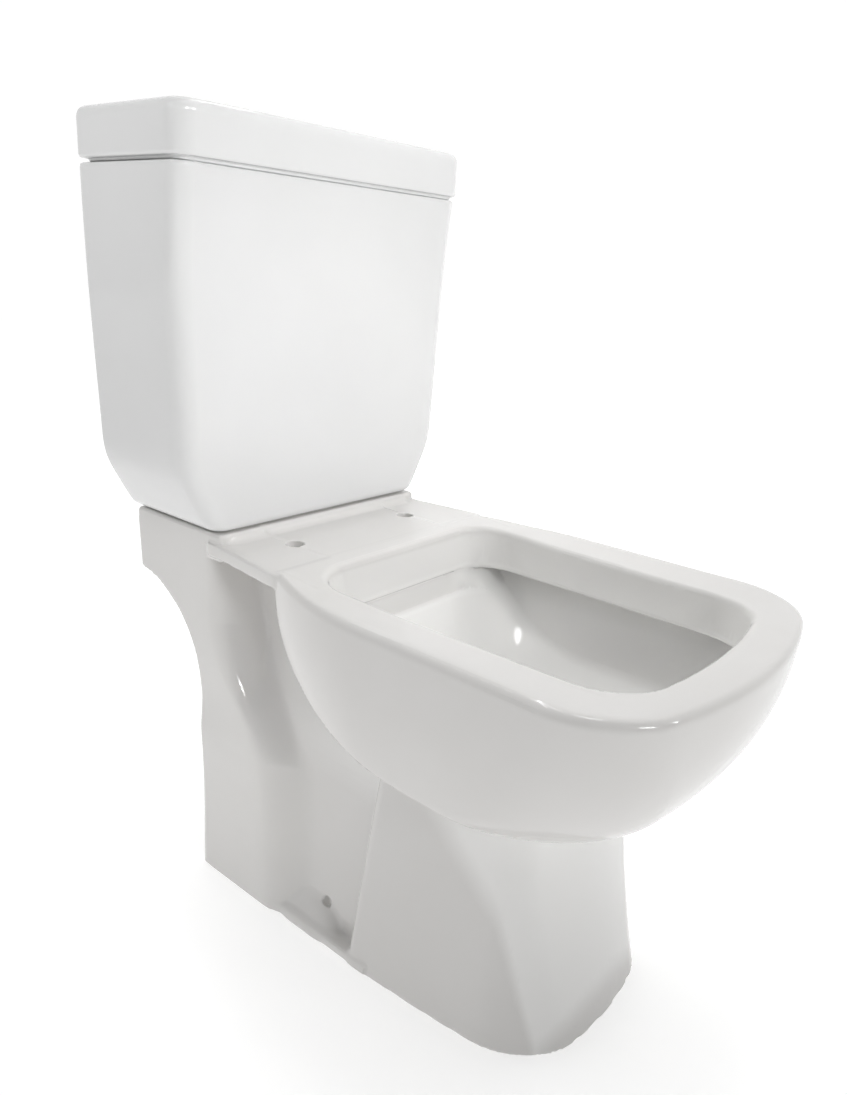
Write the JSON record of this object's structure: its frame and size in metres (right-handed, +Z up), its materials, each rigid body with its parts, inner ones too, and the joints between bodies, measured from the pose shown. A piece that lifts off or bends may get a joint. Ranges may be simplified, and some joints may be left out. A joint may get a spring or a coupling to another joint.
{
  "type": "close coupled toilet",
  "caption": "Close coupled toilet: box-rim washdown pan with horizontal outlet, tapered cistern with lid, dual flush buttons, flush valve and fill valve.",
  "frame": {"origin": "on the floor, at the middle of the overall width and depth", "axes": "+Z up, -Y toward the front of the bowl, +Y toward the wall, +X to the right as seen from the front"},
  "size_m": [0.376, 0.6358, 0.796],
  "materials": {
    "pan_china": "gloss",
    "cistern_china": "gloss",
    "black_rubber": "matte",
    "plated_steel": "satin",
    "chromed_plastic": "polished",
    "blue_plastic": "satin",
    "white_plastic": "satin"
  },
  "bodies": {
    "base": {"pan": "pan_china", "cistern": "cistern_china", "coupling_gasket": "black_rubber", "coupling_bolt_left": "plated_steel", "coupling_bolt_right": "plated_steel", "bolt_seal_left": "black_rubber", "bolt_seal_right": "black_rubber", "bolt_washer_left": "plated_steel", "bolt_washer_right": "plated_steel", "wing_nut_left": "white_plastic", "wing_nut_right": "white_plastic", "flush_valve_seat": "white_plastic", "flush_valve_gasket": "black_rubber", "flush_valve_backnut": "white_plastic", "flush_valve_tower": "white_plastic", "actuator_head": "white_plastic", "rocker_pin_full": "plated_steel", "rocker_pin_half": "plated_steel", "fill_valve_body": "white_plastic", "fill_valve_gasket": "black_rubber", "fill_valve_nut": "white_plastic", "fill_valve_cap": "blue_plastic", "fill_valve_lever_pin": "plated_steel"},
    "lid": {"cistern_lid": "cistern_china", "button_housing": "chromed_plastic", "button_housing_nut": "white_plastic"},
    "full_button": {"button_full": "chromed_plastic", "push_rod_full": "white_plastic", "return_spring_full": "plated_steel"},
    "half_button": {"button_half": "chromed_plastic", "push_rod_half": "white_plastic", "return_spring_half": "plated_steel"},
    "plunger": {"overflow_tube": "white_plastic", "plunger_seal": "black_rubber", "half_flush_float": "blue_plastic"},
    "full_rocker": {"rocker_full": "blue_plastic"},
    "half_rocker": {"rocker_half": "blue_plastic"},
    "fill_float": {"fill_valve_float": "white_plastic", "float_link": "plated_steel"},
    "fill_lever": {"fill_valve_lever": "white_plastic"}
  },
  "joints": [
    {"name": "lid_lift", "type": "slide", "parent": "base", "child": "lid", "axis": [0, 0, 1], "range_m": [0, 0.16]},
    {"name": "full_press", "type": "slide", "parent": "lid", "child": "full_button", "axis": [0, 0, -1], "range_m": [0, 0.007], "stiffness_N_per_m": 300, "deforming": ["return_spring_full"]},
    {"name": "half_press", "type": "slide", "parent": "lid", "child": "half_button", "axis": [0, 0, -1], "range_m": [0, 0.007], "stiffness_N_per_m": 300, "deforming": ["return_spring_half"]},
    {"name": "plunger_lift", "type": "slide", "parent": "base", "child": "plunger", "axis": [0, 0, 1], "range_m": [0, 0.014]},
    {"name": "full_rocker_tilt", "type": "hinge", "parent": "base", "child": "full_rocker", "pos_m": [-0.008, 0.2577, 0.638], "axis": [0, 1, 0], "range_deg": [0, 24.7]},
    {"name": "half_rocker_tilt", "type": "hinge", "parent": "base", "child": "half_rocker", "pos_m": [0.008, 0.2283, 0.638], "axis": [0, -1, 0], "range_deg": [0, 24.7]},
    {"name": "float_drop", "type": "slide", "parent": "base", "child": "fill_float", "axis": [0, 0, -1], "range_m": [0, 0.015]},
    {"name": "fill_lever_tilt", "type": "hinge", "parent": "base", "child": "fill_lever", "pos_m": [0.102, 0.262, 0.692], "axis": [0, 1, 0], "range_deg": [0, 28.2]}
  ],
  "couplings": [
    {"joint": "plunger_lift", "follows": "full_press", "ratio": 2},
    {"joint": "full_rocker_tilt", "follows": "full_press", "rad_per_m": 61.429},
    {"joint": "half_rocker_tilt", "follows": "half_press", "rad_per_m": 61.429},
    {"joint": "fill_lever_tilt", "follows": "float_drop", "rad_per_m": 32.5}
  ]
}
